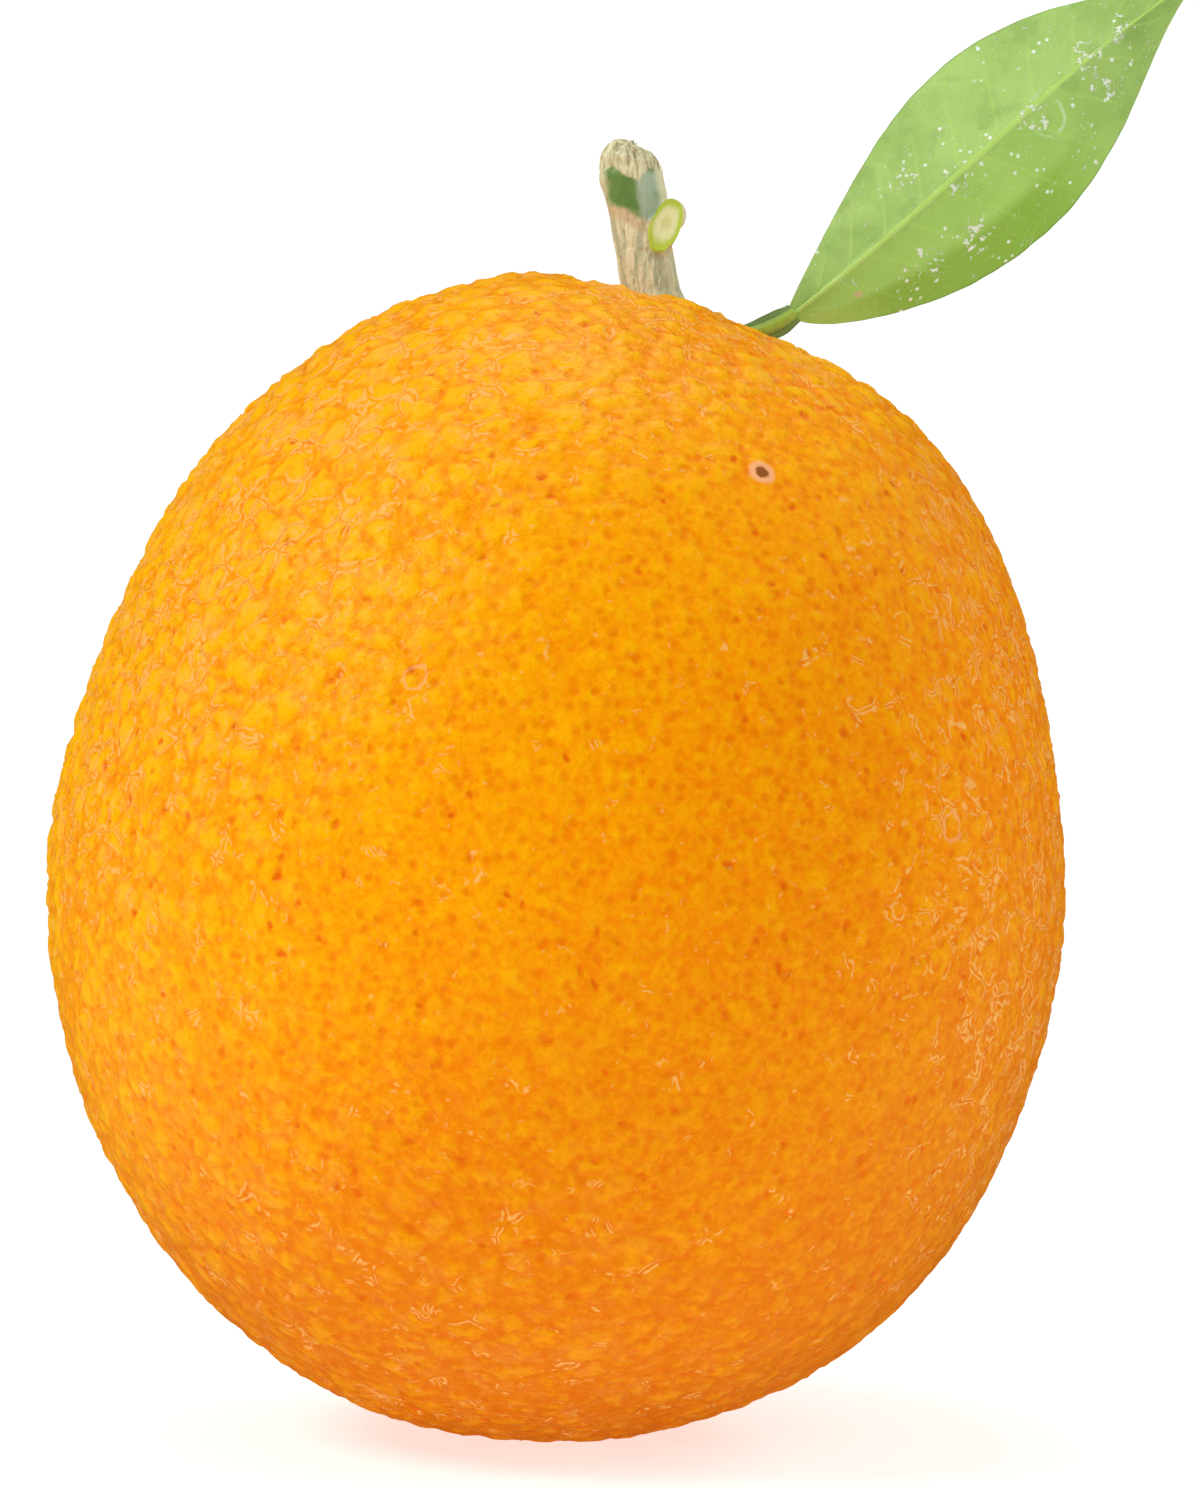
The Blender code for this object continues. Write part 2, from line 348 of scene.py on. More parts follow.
# %% [markdown]
# ## The pattern of the peel
#
# Peel is dotted with oil glands. Under the wax each one shows as a darker, redder dot, the largest
# in small pits, and between them the skin stands up in low pebbles. Voronoi cells give just that
# layout: every cell has one centre, at an uneven but steady spacing. The same few nodes are used
# twice, in a Geometry Nodes modifier that moves the mesh and in the material that colours it, so
# every pit is dark where it is deep. Both read the direction from the fruit's centre and not the
# place itself, so moving the mesh outwards doesn't shift the pattern.

# %% Recipe shared by the mesh and the material
PIT_CELLS = 19.0                         # cells per radius: about 2.3 mm apart
GLAND_CELLS = 36.0                       # about 1.2 mm apart
LUMP_CELLS = 17.0                        # about 2.5 mm apart
PEBBLE_NOISE = 19.0
SWELL_NOISE = 4.5
SHOULDER_SIDE = (-0.76, -0.05, 0.64)     # directions in which the skin is coarse
FLANK_SIDE = (0.97, 0.10, 0.20)
CROWN_SIDE = (0.10, 0.0, 1.0)
LOW_SIDE = (-0.45, 0.0, -0.85)


def facing(outward, side):
    """1 where the peel faces a side, 0 at right angles to it and -1 on the far side."""
    return outward.vector("DOT_PRODUCT", side, 1)


def peel_pattern(place):
    """Direction from the centre, then pits, glands, lumps and the lumps' rims at a place."""
    outward = place.vector("SUBTRACT", tuple(FRUIT_CENTRE)).vector("NORMALIZE")
    wandering = outward.warp(26.0, 0.035)
    from_pit = wandering.cells(PIT_CELLS)
    pits = from_pit.smooth(0.24, 0.03)
    glands = outward.cells(GLAND_CELLS).smooth(0.50, 0.08)
    lumpy = outward.warp(15.0, 0.075)
    from_edge = lumpy.cells(LUMP_CELLS, feature="DISTANCE_TO_EDGE")
    lumps = from_edge.smooth(0.0, 0.34) * 0.60
    lumps = lumps + outward.noise(PEBBLE_NOISE, 2.0, 0.55, 0.8) * 0.70 - 0.20
    rims = (from_edge - 0.13 + 0.10 * outward.noise(40.0, 1.0)).absolute().smooth(0.050, 0.015)
    return outward, pits, glands, lumps, rims


def rough_side(outward):
    """1 where the skin is coarse: on the left shoulder, the right flank, round the stem and low down."""
    shoulder = facing(outward, SHOULDER_SIDE).smooth(0.20, 0.92)
    flank = facing(outward, FLANK_SIDE).smooth(0.55, 0.95)
    crown = facing(outward, CROWN_SIDE).smooth(0.62, 0.95)
    below = facing(outward, LOW_SIDE).smooth(0.10, 0.95)
    return shoulder.largest(flank * 0.45).largest(crown * 0.8).largest(below * 0.45)


# %% Move the mesh by the pattern
PIT_DEPTH = 0.15 * MM
GLAND_DEPTH = 0.03 * MM
LUMP_HEIGHT = 0.42 * MM
RIM_HEIGHT = 0.03 * MM
SWELL_HEIGHT = 0.35 * MM

group = bpy.data.node_groups.new("peel_relief", "GeometryNodeTree")
group.interface.new_socket("Geometry", in_out="INPUT", socket_type="NodeSocketGeometry")
group.interface.new_socket("Geometry", in_out="OUTPUT", socket_type="NodeSocketGeometry")
entry = Wire.node(group, "NodeGroupInput")
position = Wire.node(group, "GeometryNodeInputPosition")
outward, pits, glands, lumps, rims = peel_pattern(position)
rough = rough_side(outward)
height = (lumps - 0.5) * LUMP_HEIGHT * (0.40 + 1.10 * rough) + rims * RIM_HEIGHT * rough
height = height + (outward.noise(SWELL_NOISE, 1.0) - 0.5) * SWELL_HEIGHT
height = height - pits * PIT_DEPTH - glands * GLAND_DEPTH
push = Wire.node(group, "ShaderNodeVectorMath", {"operation": "SCALE"}, {0: outward, "Scale": height})
moved = Wire.node(group, "GeometryNodeSetPosition", {}, {"Geometry": entry, "Offset": push})
leave = group.nodes.new("NodeGroupOutput")
group.links.new(moved.socket, leave.inputs[0])
relief = fruit.modifiers.new("peel_relief", "NODES")
relief.node_group = group
apply_modifiers(fruit)
print("relief applied to", len(fruit.data.vertices), "points")

# %% [markdown]
# ## Setting the fruit down
#
# The weight of a fruit presses its blossom end flat against the table. Points that would sink below
# the table are eased up to it along a soft curve, so the flat spot has no hard rim. The small scar
# where the flower's style dropped off lies in that spot, a little sunk.

# %% Flat spot and scar
REST_SOFTNESS = 0.25 * MM
REST_INSET = 0.02 * MM                   # lowers the eased skin so that it does touch the table
SCAR_ZONE = 6.0 * MM                     # only points below this height are looked at
SCAR_PLACE = FRUIT_CENTRE - LONG_AXIS * FRUIT_HALF_LENGTH
SCAR_RADIUS = 2.0 * MM
SCAR_DEPTH = 0.5 * MM


def set_down(height):
    """Ease a height towards zero from above, as a soft thing does on a table."""
    return 0.5 * (height + math.sqrt(height * height + REST_SOFTNESS ** 2))


for vert in fruit.data.vertices:
    if vert.co.z < SCAR_ZONE:
        away = math.hypot(vert.co.x - SCAR_PLACE.x, vert.co.y - SCAR_PLACE.y)
        scar = SCAR_DEPTH * (1.0 - smoothstep(0.3 * SCAR_RADIUS, SCAR_RADIUS, away))
        vert.co.z = set_down(vert.co.z) - REST_INSET + scar
        vert.co.z = max(vert.co.z, 0.0)
    for axis in range(2):                # a pebble on the widest part may not leave the box
        vert.co[axis] = max(cad_box[0][axis], min(cad_box[1][axis], vert.co[axis]))
print("lowest point", round(min(v.co.z for v in fruit.data.vertices) / MM, 3), "mm")

# %% [markdown]
# ## The peel's material
#
# The colour comes from below the wax, redder in each gland, and painted light and shade lie over it.
# The orange is painted yellower towards the upper left, where the key light falls, deeper away from
# it and deepest underneath, as painted shade. One tone from 0 to 1 picks between a painted lit and a
# painted shaded orange. The pebbles add painted light to their tops and painted shade to their
# hollows, and a fine grain adds random tone. The gloss is weak, and the specular tint keeps its
# highlights warm, because waxy peel shines in a pale orange and not in white.

# %% Peel colours
PEEL_PAINTED_LIT = linear(252, 180, 0)
PEEL_PAINTED_SHADED = linear(247, 136, 0)
PEEL_PAINTED_UNDERSHADE_LIT = linear(243, 157, 0)
PEEL_PAINTED_UNDERSHADE_DEEP = linear(224, 118, 0)
PEEL_GLAND = linear(232, 100, 0)
PEEL_PAINTED_HIGHLIGHT = linear(252, 184, 96)
PAINTED_LIGHT_SIDE = (-0.44, 0.0, 0.44)            # its length sets how fast the tone falls off
PAINTED_UNDERSHADE_SIDE = (0.30, 0.0, -0.95)

peel, shader, place = new_material("orange_peel", {
    "Specular IOR Level": 0.16,
    "Specular Tint": (1.0, 0.70, 0.22, 1.0),
})
outward, pits, glands, lumps, rims = peel_pattern(place)
rough = rough_side(outward)
# painted light: the peel is yellower towards the upper left, where the key light falls, and deeper away
# from it
painted_lit_side = (facing(outward, PAINTED_LIGHT_SIDE) + 0.46).largest(0.32)
clouds = outward.noise(7.0, 3.0)
# painted light and shade of the relief: pebble tops are lighter and their hollows deeper orange, most
# where the skin is coarse; the clouds are random tone
light_and_tone = painted_lit_side + 0.40 * (clouds - 0.5) + (0.45 + 1.2 * rough) * (lumps - 0.5)
light_and_tone = light_and_tone + 1.5 * (outward.noise(70.0, 2.0, 0.6, 0.5) - 0.5)
# painted shade: towards the bottom, where shade falls, the peel is mixed towards darker oranges
underside = facing(outward, PAINTED_UNDERSHADE_SIDE).smooth(0.0, 0.90) * 0.85
deep = underside.mix(PEEL_PAINTED_SHADED, PEEL_PAINTED_UNDERSHADE_DEEP)
color = light_and_tone.largest(0.0).mix(deep, underside.mix(PEEL_PAINTED_LIT, PEEL_PAINTED_UNDERSHADE_LIT))
strong = outward.cells(PIT_CELLS, "Color").axis("X").smooth(0.20, 0.95)
color = (glands * (0.46 - 0.20 * rough)).mix(color, PEEL_GLAND)
color = (pits * (0.55 + 0.45 * strong)).mix(color, PEEL_GLAND)

# %% [markdown]
# ### Painted highlights on the ridges
#
# Mostly where the skin is coarse, towards the left, and on the right flank even where the skin is
# smooth, the wax's reflection of the light is painted on the raised rims as a painted highlight. It
# shows as short peach-coloured squiggles round the hollows, broken up and never a full net. The rims
# of the pebbles give the squiggles' course, and a slower noise says where they break off.

# %% Painted peach highlight squiggles
highlight_breakup = outward.noise(17.0, 3.0, 0.6)
left = facing(outward, (-1.0, 0.0, 0.1)).smooth(-0.1, 0.8)
flank = facing(outward, (0.97, 0.0, 0.10)).smooth(0.30, 0.80)
highlight_region = rough.largest(left * 0.40).largest(flank * 0.95) + 0.08
highlight_squiggles = rims * highlight_breakup.smooth(0.66 - 0.17 * highlight_region, 0.72 - 0.17 * highlight_region)
fine_rims = (outward.noise(44.0, 1.0) - 0.5).absolute().smooth(0.05, 0.015)
highlight_flecks = fine_rims * outward.noise(36.0, 2.0).smooth(0.66 - 0.10 * highlight_region, 0.72 - 0.10 * highlight_region)
highlight_patches = outward.noise(20.0, 3.0, 0.6, 0.8).smooth(0.50, 0.64) * rough
# painted highlight: peach patches, squiggles and flecks stand in for the light's reflection in the wax
color = (highlight_patches * 0.24).mix(color, PEEL_PAINTED_HIGHLIGHT)
color = (highlight_squiggles * 0.80).mix(color, PEEL_PAINTED_HIGHLIGHT)
color = (highlight_flecks * 0.55).mix(color, PEEL_PAINTED_HIGHLIGHT)

# %% [markdown]
# ### Marks of a life on the tree
#
# No fruit is flawless. A small brown scab with a pale ring, grey specks and faint healed rings tell
# that this one hung outside. Each is a distance from a point, so it stays where it is put.

# %% Scabs, specks and healed rings
# place in mm, radius in mm
SCABS = (((14.6, -28.4, 72.6), 0.62), ((-21.0, 27.0, 66.0), 0.8), ((30.5, 21.0, 32.0), 0.55))
SPECKS = (((17.2, -11.7, 83.6), 0.42), ((10.6, -28.6, 71.4), 0.30), ((-30.0, 12.0, 60.0), 0.5),
          ((-12.0, 37.0, 50.0), 0.4))
RINGS = (((-9.7, -36.6, 57.4), 0.85), ((28.0, -28.2, 47.2), 0.95), ((22.0, 32.0, 58.0), 1.1))
SCAB_BROWN = linear(150, 84, 38)
SPECK_GREY = linear(150, 120, 84)
HEALED_PINK = linear(250, 176, 120)

for spot, radius in SCABS:
    away = place.distance(Vector(spot) * MM) + (place.noise(1800.0, 2.0) - 0.5) * 0.5 * MM
    color = away.smooth(1.9 * radius * MM, 1.3 * radius * MM).mix(color, HEALED_PINK)
    color = away.smooth(1.1 * radius * MM, 0.7 * radius * MM).mix(color, SCAB_BROWN)
for spot, radius in SPECKS:
    away = place.distance(Vector(spot) * MM) + (place.noise(2200.0, 2.0) - 0.5) * 0.6 * MM
    color = away.smooth(1.1 * radius * MM, 0.6 * radius * MM).mix(color, SPECK_GREY)
for spot, radius in RINGS:
    away = place.distance(Vector(spot) * MM) + (place.noise(900.0, 2.0) - 0.5) * 1.2 * MM
    ring = (away - radius * MM).absolute().smooth(0.16 * MM, 0.04 * MM)
    color = (ring * 0.5).mix(color, HEALED_PINK)
dust = outward.cells(60.0).smooth(0.13, 0.05) * outward.noise(9.0, 2.0).smooth(0.58, 0.66)
color = (dust * 0.6).mix(color, HEALED_PINK)
link(color, shader, "Base Color")

# %% Gloss and fine relief of the peel
gloss = 0.30 + 0.16 * outward.noise(30.0, 2.0) + 0.10 * pits
link(gloss, shader, "Roughness")
fine = outward.noise(150.0, 2.0)
crumple = outward.noise(30.0, 3.0, 0.6, 0.6)
skin = (crumple - 0.5) * (0.15 + 0.27 * rough) - 0.05 * glands - 0.06 * pits
skin = (skin + 0.012 * fine + 0.02 * highlight_squiggles + 0.012 * highlight_flecks) * MM
link_bump(skin, shader)
fruit.data.materials.append(peel)
finish_piece(fruit, "fruit")

# %% [markdown]
# ## The calyx
#
# Between fruit and stem sits the calyx, the five green points that once held the flower. It is a
# small flattened ball with a star's outline, laid on the floor of the dimple. It starts as a UV
# sphere, because its poles then lie where the stem hides them.

# %% Calyx
CALYX_LOBES = 5
CALYX_RADIUS = 4.8 * MM
CALYX_NOTCH = 0.34
CALYX_THICKNESS = 1.2 * MM
CALYX_LIFT = 0.15 * MM
tilt = Matrix.Rotation(DIMPLE_TILT, 3, "Y")

bm = bmesh.new()
bmesh.ops.create_uvsphere(bm, u_segments=180, v_segments=36, radius=1.0)
for vert in bm.verts:
    bearing = math.atan2(vert.co.y, vert.co.x)
    reach = math.hypot(vert.co.x, vert.co.y)
    star = abs(math.cos(CALYX_LOBES * bearing / 2.0)) ** 0.8
    uneven = 1.0 + 0.10 * noise.noise(Vector((bearing * 1.3, 0.0, 4.0)))
    outline = CALYX_RADIUS * (1.0 - CALYX_NOTCH * (1.0 - star)) * uneven
    off_axis = outline * reach
    direction = tilt @ unit_vector(bearing, math.pi / 2 - off_axis / FRUIT_HALF_LENGTH)
    crown = 0.5 + 0.5 * vert.co.z
    lift = CALYX_LIFT + CALYX_THICKNESS * crown * (1.0 - 0.45 * reach)
    groove = 0.10 * math.cos(30.0 * bearing) * reach + 0.12 * noise.noise(vert.co * 6.0)
    curl = 0.5 * smoothstep(0.75, 1.0, reach) * star
    lift += (groove * crown + curl) * MM
    vert.co = FRUIT_CENTRE + direction * (peel_radius(direction) - PEEL_INSET) + DIMPLE_AXIS * lift
calyx = new_piece("calyx_star", bm)

calyx_skin, shader, place = new_material("calyx_skin", {"Specular IOR Level": 0.25})
centred = place.vector("SUBTRACT", tuple(FRUIT_CENTRE + DIMPLE_AXIS * peel_radius(DIMPLE_AXIS)))
from_middle = centred.vector("MULTIPLY", (1.0, 1.0, 0.0)).vector("LENGTH", output=1)
dry = from_middle.smooth(2.6 * MM, 5.0 * MM) + 0.7 * (place.noise(900.0, 3.0) - 0.5)
color = dry.smooth(0.0, 1.0).mix(linear(122, 138, 74), linear(158, 132, 84))
color = place.noise(2600.0, 2.0).smooth(0.60, 0.72).mix(color, linear(196, 186, 140))
link(color, shader, "Base Color")
link(0.7 + 0.2 * place.noise(1500.0, 2.0), shader, "Roughness")
link_bump((place.noise(1800.0, 3.0) - 0.5) * 0.12 * MM, shader)
calyx.data.materials.append(calyx_skin)
finish_piece(calyx, "calyx")

# %% [markdown]
# ## The stem: a grown twig
#
# The twig is turned like a candle, ring by ring along a bent centre line, and the stump of the side
# shoot is a second short tube that starts inside it. Wood has no seams, so both are then remeshed
# into one skin, and a few rounds of smoothing melt the joint. Only after that come the sharp things:
# the flush cut of the side shoot, the cracks of the bark and the torn top.

# %% Rings along the twig's centre line
TWIG_LINE = (                            # centre in mm, radius in mm
    ((8.05, 0.0, 87.5), 2.85),
    ((7.90, 0.0, 88.5), 2.50),
    ((7.45, 0.0, 89.8), 2.32),
    ((7.00, 0.0, 92.2), 2.28),
    ((6.62, 0.0, 94.6), 2.27),
    ((6.45, 0.0, 96.3), 2.36),
    ((6.25, 0.0, 97.6), 2.44),
    ((5.75, 0.0, 99.3), 2.52),
    ((5.70, 0.0, 100.5), 2.42),
    ((5.95, 0.0, 101.3), 2.00),
    ((6.15, 0.0, 101.7), 1.10),
)
TWIG_SIDES = 40
CUT_CENTRE = Vector((8.50, -2.60, 95.00)) * MM
CUT_NORMAL = Vector((0.15, -0.98, -0.12)).normalized()
SHOOT_DIRECTION = Vector((0.375, -0.60, 0.706)).normalized()
SHOOT_RADIUS = 1.22 * MM
COLLAR_PLACE = Vector((8.85, -0.95, 96.00)) * MM
COLLAR_RADIUS = 1.35 * MM
REMESH_SIZE = 0.13 * MM


def rings_along(bm, line, sides):
    """Extrude a circle from ring to ring along a line of centres and radii, and close both ends."""
    centres = [Vector(place) * MM for place, radius in line]
    made = bmesh.ops.create_circle(bm, segments=sides, radius=1.0, cap_ends=True)
    ring = made["verts"]
    edges = list({edge for vert in ring for edge in vert.link_edges})
    for number, (place, radius) in enumerate(line):
        if number:
            grown = bmesh.ops.extrude_edge_only(bm, edges=edges)["geom"]
            ring = [item for item in grown if isinstance(item, bmesh.types.BMVert)]
            edges = [item for item in grown if isinstance(item, bmesh.types.BMEdge)]
        ahead = centres[min(number + 1, len(line) - 1)]
        behind = centres[max(number - 1, 0)]
        turn = UP.rotation_difference(ahead - behind)
        flat = {vert: vert.co.copy() for vert in ring}
        middle = sum(flat.values(), Vector()) / len(ring)
        for vert in ring:
            bearing = math.atan2((flat[vert] - middle).y, (flat[vert] - middle).x)
            spot = Vector((math.cos(bearing), math.sin(bearing), 0.0)) * radius * MM
            vert.co = centres[number] + (turn @ spot)
    bmesh.ops.contextual_create(bm, geom=edges)
    bmesh.ops.recalc_face_normals(bm, faces=bm.faces[:])


bm = bmesh.new()
rings_along(bm, TWIG_LINE, TWIG_SIDES)
turn = SHOOT_DIRECTION.to_track_quat("Z", "Y").to_matrix().to_4x4()
bmesh.ops.create_cone(bm, cap_ends=True, segments=24, radius1=SHOOT_RADIUS, radius2=SHOOT_RADIUS,
                      depth=4.4 * MM,
                      matrix=Matrix.Translation(CUT_CENTRE - SHOOT_DIRECTION * 0.2 * MM) @ turn)
bmesh.ops.create_icosphere(bm, subdivisions=3, radius=COLLAR_RADIUS,
                           matrix=Matrix.Translation(COLLAR_PLACE))
stem = new_piece("woody_stem", bm)
remesh = stem.modifiers.new("one_skin", "REMESH")
remesh.mode = "VOXEL"
remesh.voxel_size = REMESH_SIZE
apply_modifiers(stem)
print("twig points after remeshing:", len(stem.data.vertices))

# %% Melt the joint, crack the bark, tear the top and cut the shoot
GREEN_FOOT = 95.9 * MM                   # young green bark from here ...
GREEN_TOP = 99.3 * MM                    # ... to here, with a torn end above it
GREEN_SLOPE = 0.6                        # its lower edge falls towards the side shoot
SMOOTHING_ROUNDS = 6
STUB_REACH = 2.6 * MM                    # only this near the cut does the cutting plane cut
CUT_LIP = 0.16 * MM                      # the bark stands up round the cut by a hair


def twig_axis(height):
    """Centre of the twig at a height."""
    line = [Vector(place) * MM for place, radius in TWIG_LINE]
    for low, high in zip(line, line[1:]):
        if height <= high.z:
            break
    part = max(0.0, min(1.0, (height - low.z) / (high.z - low.z)))
    return low.lerp(high, part)


bm = bmesh.new()
bm.from_mesh(stem.data)
for _ in range(SMOOTHING_ROUNDS):
    bmesh.ops.smooth_vert(bm, verts=bm.verts[:], factor=0.5, use_axis_x=True, use_axis_y=True,
                          use_axis_z=True)
bm.normal_update()
for vert in bm.verts:
    place = vert.co.copy()
    axis = twig_axis(place.z)
    bearing = math.atan2(place.y - axis.y, place.x - axis.x)
    along = place.z / MM
    ring = Vector((math.cos(bearing) * 4.2, math.sin(bearing) * 4.2, along * 0.42))
    crack = 1.0 - abs(noise.noise(ring)) * 2.0
    crack = smoothstep(0.72, 1.0, crack)
    old_bark = 1.0 - smoothstep(95.0, 96.6, along)
    lumps = noise.noise(place * 620.0)
    torn = smoothstep(98.9, 100.6, along)
    fibres = noise.noise(Vector((math.cos(bearing) * 7.0, math.sin(bearing) * 7.0, along * 0.8)))
    top_lumps = noise.noise(place * 1300.0)
    push = 0.07 * lumps - 0.09 * crack * old_bark + torn * (0.22 * fibres + 0.24 * top_lumps - 0.06)
    vert.co += vert.normal * push * MM
stub = {vert for vert in bm.verts if (vert.co - CUT_CENTRE).length < STUB_REACH}
stub_edges = [edge for edge in bm.edges if stub.issuperset(edge.verts)]
stub_faces = [face for face in bm.faces if stub.issuperset(face.verts)]
bmesh.ops.bisect_plane(bm, geom=list(stub) + stub_edges + stub_faces, dist=0.00001 * MM,
                       plane_co=CUT_CENTRE, plane_no=CUT_NORMAL, clear_outer=True)
rim = [edge for edge in bm.edges if edge.is_boundary]
filled = bmesh.ops.contextual_create(bm, geom=rim)["faces"]
bmesh.ops.inset_region(bm, faces=filled, thickness=CUT_LIP, depth=-0.05 * MM)
bmesh.ops.triangulate(bm, faces=[f for f in bm.faces if len(f.verts) > 4])
bmesh.ops.recalc_face_normals(bm, faces=bm.faces[:])
bm.to_mesh(stem.data)
bm.free()
stem.data.shade_smooth()
stem.data.set_sharp_from_angle(angle=math.radians(42))   # keeps the cut's edge crisp
print("cut face rim had", len(rim), "edges")

# %% [markdown]
# ## Bark, fresh wood and dry fibre
#
# One twig shows three finishes. Old bark is cream with grey-green streaks that run along it. Young
# bark is smooth, dark green and a little shiny, with a pale sheen painted on its right side as a
# painted highlight. The torn top is dry and pale, and where the side shoot was cut the living rim
# under the bark is a bright yellow-green. Each finish has a mask made from the height, and noise
# frays the masks' edges.

# %% Twig material
TWIG_CREAM = linear(236, 226, 184)
TWIG_STREAK = linear(184, 186, 148)
TWIG_BROWN = linear(208, 178, 134)
TWIG_GREEN = linear(98, 136, 62)
TWIG_PAINTED_SHEEN = linear(180, 196, 170)
TORN_PALE = linear(234, 228, 184)
TORN_DARK = linear(168, 156, 114)
CUT_RIM = linear(194, 220, 74)
CUT_WOOD = linear(240, 246, 184)

bark, shader, place = new_material("twig_bark", {"Specular IOR Level": 0.35})
height = place.axis("Z")
across = place.axis("X") + 0.17 * (height - 97.0 * MM)
stretched = Wire.node(place.tree, "ShaderNodeMapping", {"vector_type": "POINT"},
                      {"Vector": place, "Rotation": (0.0, math.radians(-9.0), 0.0),
                       "Scale": (1.0, 1.0, 0.16)})
streaks = stretched.noise(1300.0, 3.0, 0.6)
hair = stretched.noise(4200.0, 2.0, 0.6)
fray = (place.noise(900.0, 3.0) - 0.5) * 1.6 * MM
greyer = across.smooth(6.6 * MM, 8.6 * MM) * 0.55
color = (streaks.smooth(0.38, 0.60) * (1.0 - greyer)).mix(TWIG_STREAK, TWIG_CREAM)
color = (hair.smooth(0.52, 0.70) * 0.6).mix(color, linear(236, 228, 190))
slant = height + (across - 5.4 * MM) * GREEN_SLOPE + fray * 0.6
brown = slant.smooth(GREEN_FOOT - 1.5 * MM, GREEN_FOOT - 0.4 * MM) * (0.35 + 0.65 * streaks)
color = brown.mix(color, TWIG_BROWN)
green = slant.smooth(GREEN_FOOT - 0.2 * MM, GREEN_FOOT + 0.6 * MM)
shine = across + fray * 0.5
# painted highlight: a pale sheen on the right side of the young green bark
painted_sheen = shine.smooth(6.0 * MM, 6.7 * MM) * place.noise(500.0, 2.0).smooth(0.25, 0.50)
young = place.noise(700.0, 2.0).smooth(0.35, 0.65).mix(TWIG_GREEN, linear(116, 148, 76))
young = (painted_sheen * 0.88).mix(young, TWIG_PAINTED_SHEEN)
young = (streaks.smooth(0.60, 0.75) * 0.35).mix(young, TWIG_CREAM)
color = green.mix(color, young)
edge = shine.smooth(7.7 * MM, 8.5 * MM).largest(shine.smooth(4.4 * MM, 3.8 * MM))
color = (edge * green * 0.8).mix(color, TWIG_CREAM)
hang = (across - 6.4 * MM).absolute().smooth(1.5 * MM, 0.1 * MM) * 1.0 * MM
dry = (height + fray * 0.8 + hang).smooth(GREEN_TOP, GREEN_TOP + 0.4 * MM)
torn = (streaks * 0.5 + hair * 0.5).smooth(0.38, 0.62).mix(TORN_DARK, TORN_PALE)
color = dry.mix(color, torn)

# %% The fresh cut on the same material
from_cut = place.vector("SUBTRACT", tuple(CUT_CENTRE))
off_plane = from_cut.vector("DOT_PRODUCT", tuple(CUT_NORMAL), 1).absolute()
flat_place = place.distance(CUT_CENTRE)
on_cut = off_plane.smooth(0.16 * MM, 0.10 * MM) * flat_place.smooth(2.5 * MM, 2.4 * MM)
long_way = SHOOT_DIRECTION - CUT_NORMAL * SHOOT_DIRECTION.dot(CUT_NORMAL)
long_way.normalize()
wide_way = CUT_NORMAL.cross(long_way)
along_oval = from_cut.vector("DOT_PRODUCT", tuple(long_way), 1) / (2.05 * MM)
across_oval = from_cut.vector("DOT_PRODUCT", tuple(wide_way), 1) / (1.22 * MM)
oval = (along_oval * along_oval + across_oval * across_oval) ** 0.5
rays = (from_cut.noise(1500.0, 3.0, 0.6) - 0.5) * 0.45
wood = (oval + rays).smooth(0.92, 0.55)
fresh = wood.mix(CUT_RIM, CUT_WOOD)
heart = (oval + rays).smooth(0.42, 0.18)
fresh = (heart * 0.5).mix(fresh, linear(206, 216, 120))
color = on_cut.mix(color, fresh)
link(color, shader, "Base Color")
rough = 0.78 - 0.36 * green * (1.0 - dry) - 0.15 * on_cut
link(rough, shader, "Roughness")
grain = (streaks - 0.5) * 0.20 + (hair - 0.5) * 0.16 + (place.noise(5200.0, 2.0) - 0.5) * 0.06
link_bump(grain * (1.0 - 0.75 * green * (1.0 - dry)) * (1.0 - 0.6 * on_cut) * MM, shader)
stem.data.materials.append(bark)
finish_piece(stem, "stem")

# %% [markdown]
# ## Thin green things: a strip along a curve
#
# A leaf stalk and a leaf blade are both thin strips that follow a bent line. One function lays a grid
# along a Bezier curve and asks a second one how far each point lies to the side and how far back.
# The grid keeps its own coordinates in a UV map, 0 to 1 along and across, because veins follow the
# leaf and not space. Solidify then gives the strip its thickness.

# %% Strip along a Bezier line
def strip(line, rows, columns, shape):
    """A grid along a Bezier line; shape(u, v) gives sideways and backward distances in metres."""
    knots = [Vector(place) * MM for place in line]
    spine = interpolate_bezier(*knots, rows + 1)
    bm = bmesh.new()
    bmesh.ops.create_grid(bm, x_segments=rows, y_segments=columns, size=1.0)
    own = bm.loops.layers.uv.new("strip")
    for face in bm.faces:
        for loop in face.loops:
            loop[own].uv = (0.5 + 0.5 * loop.vert.co.x, 0.5 + 0.5 * loop.vert.co.y)
    for vert in bm.verts:
        row = round((vert.co.x + 1.0) / 2.0 * rows)
        along = (spine[min(row + 1, rows)] - spine[max(row - 1, 0)]).normalized()
        side = along.cross(BACK).normalized()
        sideways, backward = shape(row / rows, vert.co.y)
        vert.co = spine[row] + side * sideways + BACK * backward
    return bm


def thicken(piece, thickness):
    solidify = piece.modifiers.new("thickness", "SOLIDIFY")
    solidify.thickness = thickness
    solidify.offset = 0.0
    solidify.use_even_offset = False     # an even offset throws spikes where the grid is narrow
    apply_modifiers(piece)


def strip_coordinates(place):
    """Along and across of a strip, from its own UV map: 0 to 1, and -1 to 1."""
    uv = Wire.node(place.tree, "ShaderNodeUVMap", {"uv_map": "strip"})
    return uv.axis("X"), uv.axis("Y") * 2.0 - 1.0


# %% [markdown]
# ## The petiole
#
# The stalk is swollen where it leaves the twig, then it flattens and carries narrow wings. A rounded
# rib runs up its middle and goes on into the leaf as the midrib.

